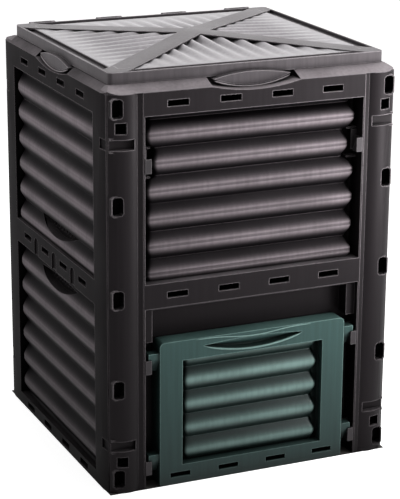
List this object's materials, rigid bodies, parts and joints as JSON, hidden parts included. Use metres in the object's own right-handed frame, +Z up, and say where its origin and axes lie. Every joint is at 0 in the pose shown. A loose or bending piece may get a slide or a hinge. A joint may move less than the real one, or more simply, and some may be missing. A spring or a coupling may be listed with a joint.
{
  "type": "compost bin",
  "caption": "Square garden compost bin with corrugated walls, a hinged lid with crossing bands and a lift-out hatch at the foot of the front.",
  "frame": {"origin": "on the ground under the middle of the four walls", "axes": "+Z up, the hatch faces -Y, +X to the right of a person facing the hatch"},
  "size_m": [0.61, 0.6106, 0.8424],
  "materials": {
    "wall_plastic": "satin",
    "lid_plastic": "satin",
    "hatch_plastic": "satin",
    "clip_plastic": "satin"
  },
  "bodies": {
    "bin": {"front_wall": "wall_plastic", "back_wall": "wall_plastic", "left_wall": "wall_plastic", "right_wall": "wall_plastic", "lower_keeper_left": "clip_plastic", "lower_keeper_right": "clip_plastic", "upper_keeper_left": "clip_plastic", "upper_keeper_right": "clip_plastic", "spare_keeper_left": "clip_plastic", "spare_keeper_right": "clip_plastic", "hinge_pin_outer_left": "clip_plastic", "hinge_pin_inner_left": "clip_plastic", "hinge_pin_outer_right": "clip_plastic", "hinge_pin_inner_right": "clip_plastic"},
    "lid": {"lid": "lid_plastic"},
    "hatch": {"hatch": "hatch_plastic"}
  },
  "joints": [
    {"name": "lid_hinge", "type": "hinge", "parent": "bin", "child": "lid", "pos_m": [0, 0.275, 0.819], "axis": [-1, 0, 0], "range_deg": [0, 105]},
    {"name": "hatch_lift", "type": "slide", "parent": "bin", "child": "hatch", "axis": [0, -0.5, 0.866], "range_m": [0, 0.2]}
  ]
}
